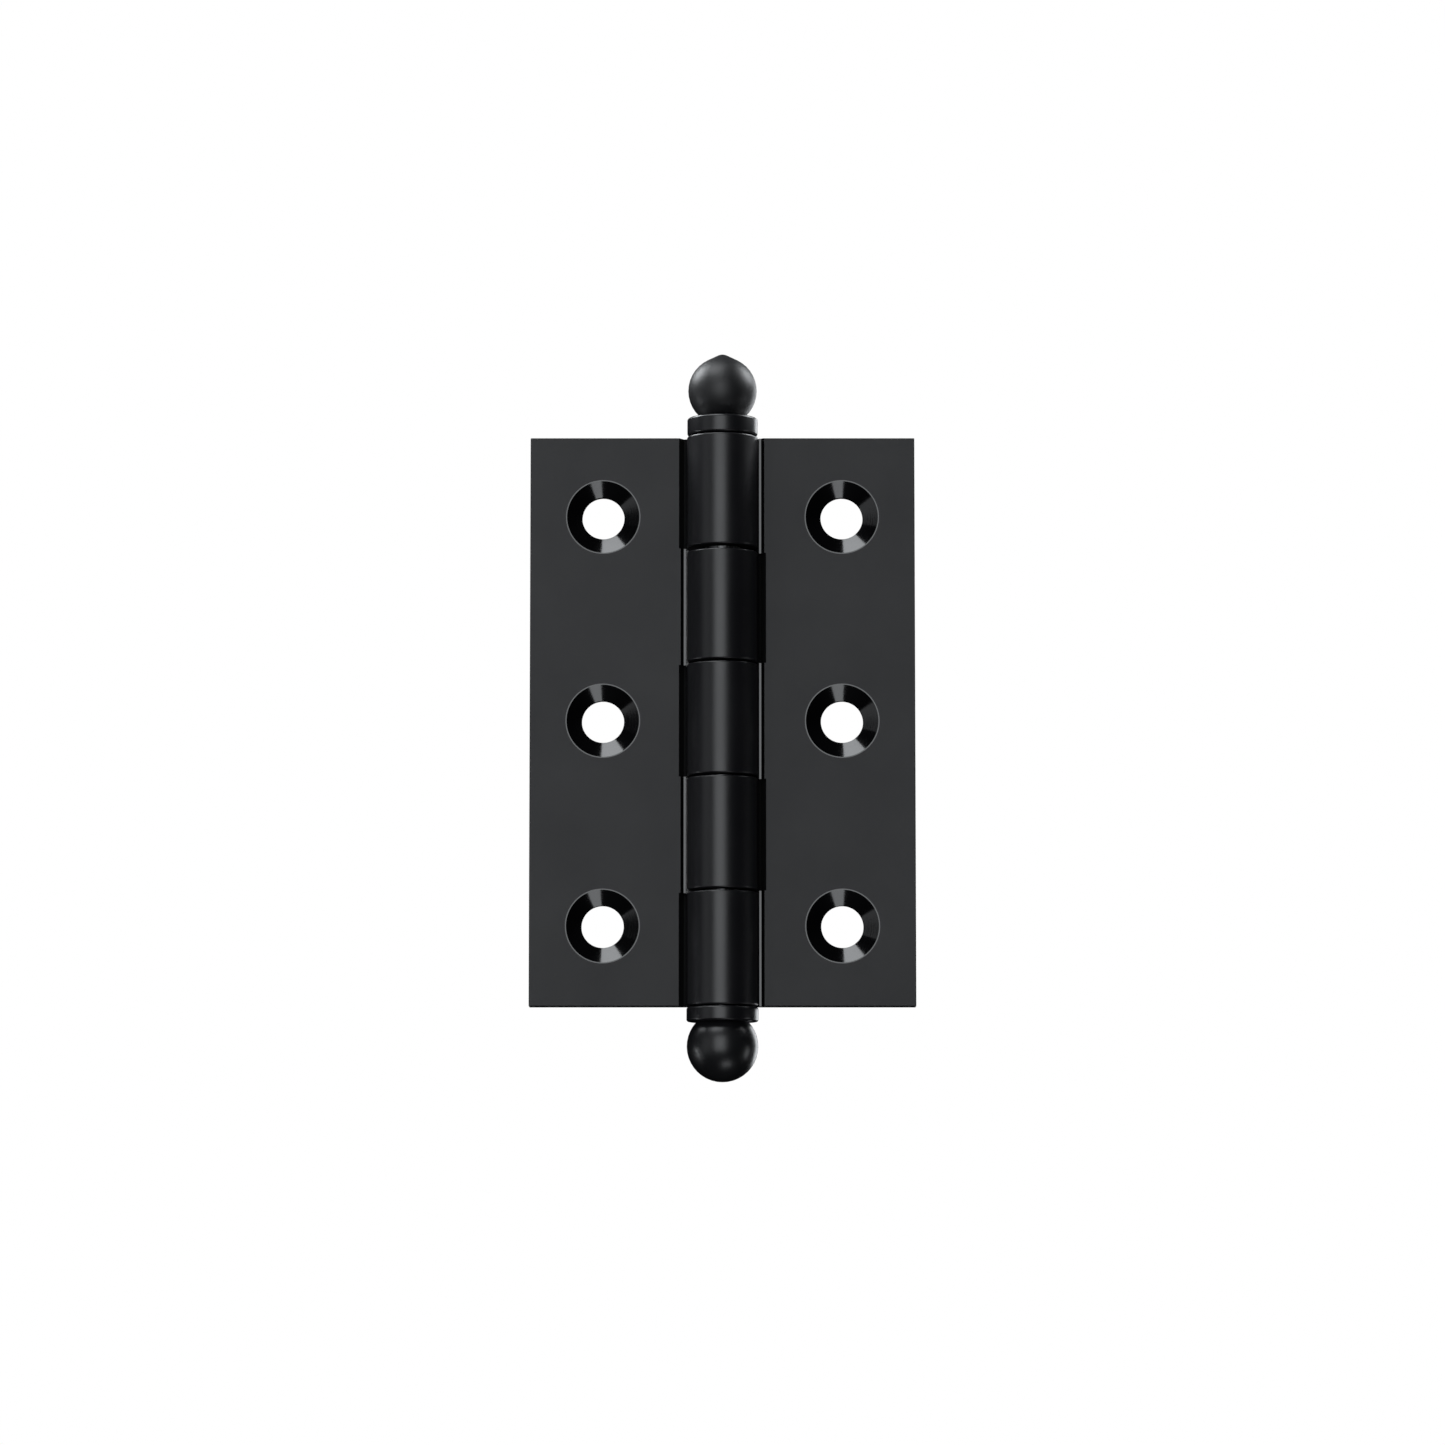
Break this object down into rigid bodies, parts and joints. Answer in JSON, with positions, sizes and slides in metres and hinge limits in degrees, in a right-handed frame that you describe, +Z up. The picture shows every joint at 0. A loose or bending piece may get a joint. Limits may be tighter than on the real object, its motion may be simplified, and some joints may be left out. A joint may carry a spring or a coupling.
{
  "type": "door hinge",
  "caption": "Cabinet-door butt hinge, lying open flat: two countersunk leaves with interleaved knuckles on a pin, and a screwed ball finial at each end.",
  "frame": {"origin": "on the pin axis, half way up the leaves", "axes": "+Z up along the pin axis, +X towards the right leaf, -Y the way the countersunk front faces look"},
  "size_m": [0.0428, 0.008, 0.0813],
  "materials": {
    "leaf_left": "satin black coating over solid brass, turned countersinks",
    "leaf_right": "satin black coating over solid brass, turned countersinks",
    "finial_top": "smooth satin black coating over turned brass",
    "finial_bottom": "smooth satin black coating over turned brass",
    "pin_steel": "drawn steel, lightly oiled"
  },
  "bodies": {
    "left_leaf": {"left_leaf": "leaf_left"},
    "right_leaf": {"right_leaf": "leaf_right"},
    "pin_set": {"hinge_pin": "pin_steel", "top_finial": "finial_top", "bottom_finial": "finial_bottom"}
  },
  "joints": [
    {"name": "leaf_swing", "type": "hinge", "parent": "left_leaf", "child": "right_leaf", "pos_m": [0, 0, 0], "axis": [0, 0, 1], "range_deg": [-180, 90]},
    {"name": "pin_spin", "type": "hinge", "parent": "left_leaf", "child": "pin_set", "pos_m": [0, 0, 0], "axis": [0, 0, 1], "continuous": true}
  ]
}
